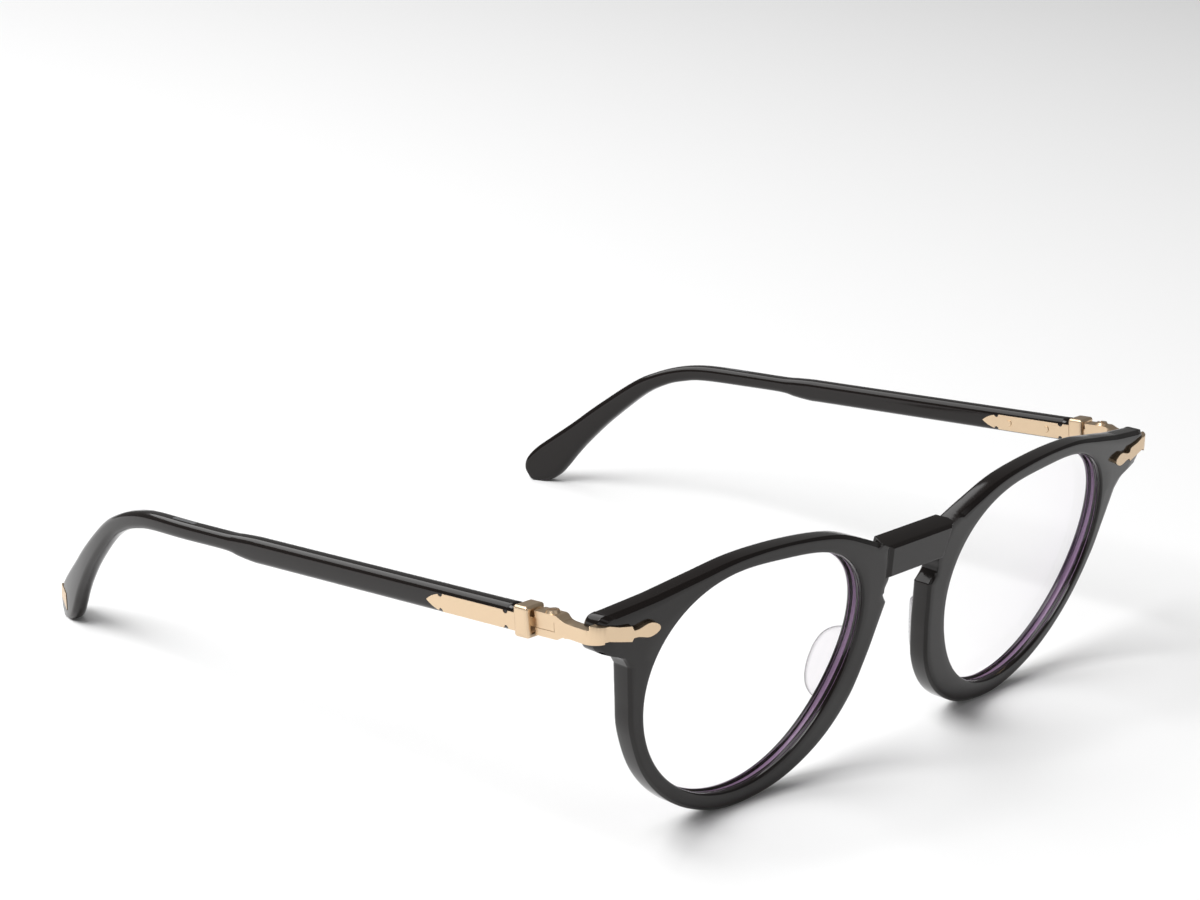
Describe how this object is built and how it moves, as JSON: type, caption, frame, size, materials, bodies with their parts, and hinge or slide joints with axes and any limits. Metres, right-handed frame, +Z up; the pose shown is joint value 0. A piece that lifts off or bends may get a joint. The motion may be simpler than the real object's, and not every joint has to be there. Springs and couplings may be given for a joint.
{
  "type": "spectacles",
  "caption": "Round acetate spectacles with a keyhole bridge, clear lenses, inlaid metal bars at the corners and hinged temples that fold inwards.",
  "frame": {"origin": "below the middle of the bounding box, on the surface that the spectacles stand on", "axes": "+X to the wearer's left, the front faces -Y with the open temples running to +Y, +Z up"},
  "size_m": [0.1448, 0.154, 0.0463],
  "materials": {
    "acetate": "polished black acetate",
    "gold_metal": "satin champagne gold plating",
    "core_metal": "drawn strip",
    "lens": "clear with a faint purple reflection",
    "clear_pad": "clear polished plastic"
  },
  "bodies": {
    "front": {"front_frame": "acetate", "lens_left": "lens", "lens_right": "lens", "nose_pad_left": "clear_pad", "nose_pad_right": "clear_pad", "endpiece_bar_left": "gold_metal", "endpiece_bar_right": "gold_metal", "endpiece_rivets_left": "gold_metal", "endpiece_rivets_right": "gold_metal", "hinge_screw_left": "gold_metal", "hinge_screw_right": "gold_metal"},
    "left_temple": {"temple_cap_left": "gold_metal", "temple_left": "acetate", "core_strip_left": "core_metal", "outer_plaque_left": "gold_metal", "inner_plaque_left": "gold_metal", "plaque_rivets_left": "gold_metal", "tip_inlay_left": "gold_metal"},
    "right_temple": {"temple_cap_right": "gold_metal", "temple_right": "acetate", "core_strip_right": "core_metal", "outer_plaque_right": "gold_metal", "inner_plaque_right": "gold_metal", "plaque_rivets_right": "gold_metal", "tip_inlay_right": "gold_metal"}
  },
  "joints": [
    {"name": "left_hinge", "type": "hinge", "parent": "front", "child": "left_temple", "pos_m": [0.0701, -0.06334, 0.03914], "axis": [0, 0.0896, 0.996], "range_deg": [0, 86.5]},
    {"name": "right_hinge", "type": "hinge", "parent": "front", "child": "right_temple", "pos_m": [-0.0701, -0.06334, 0.03914], "axis": [0, -0.0896, -0.996], "range_deg": [0, 71]}
  ]
}
